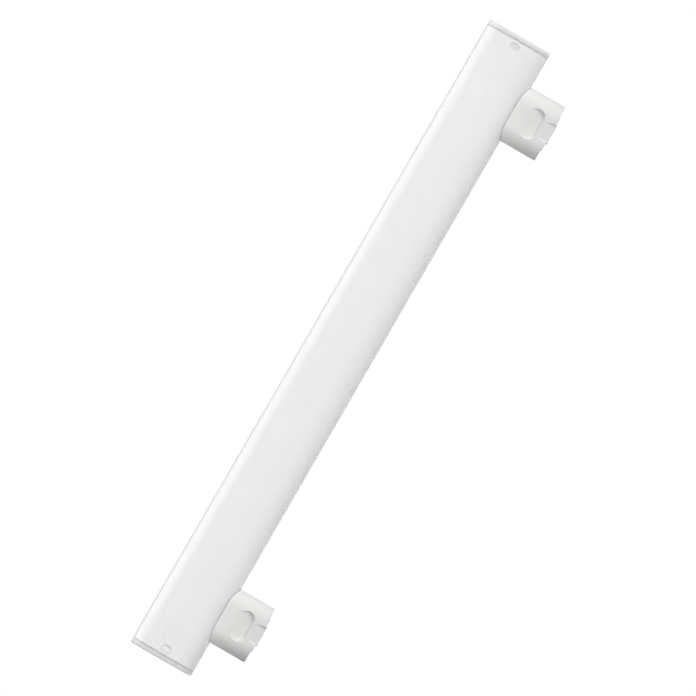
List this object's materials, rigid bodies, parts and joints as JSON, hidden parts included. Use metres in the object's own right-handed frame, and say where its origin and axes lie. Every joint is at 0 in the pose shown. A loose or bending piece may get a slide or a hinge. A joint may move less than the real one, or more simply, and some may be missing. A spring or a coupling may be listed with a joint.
{
  "type": "tubular light bulb",
  "caption": "Straight opal lamp tube with moulded end caps and oblong side pegs that push into spring lampholders, with a contact in the tip of each peg.",
  "frame": {"origin": "midway between the pegs, on the plane of the tongues that the lamp stands on", "axes": "+X along the tube, +Z from the tips of the pegs up to the tube"},
  "size_m": [0.3, 0.029, 0.0465],
  "materials": {
    "opal_tube": "extruded opal polycarbonate, satin gloss",
    "end_caps": "moulded white polycarbonate, satin",
    "pegs": "moulded white polyester, satin",
    "contacts": "nickel-plated brass"
  },
  "bodies": {
    "root": {"tube": "opal_tube", "left_end_cap": "end_caps", "right_end_cap": "end_caps", "left_peg": "pegs", "right_peg": "pegs", "left_contact": "contacts", "right_contact": "contacts"}
  },
  "joints": []
}
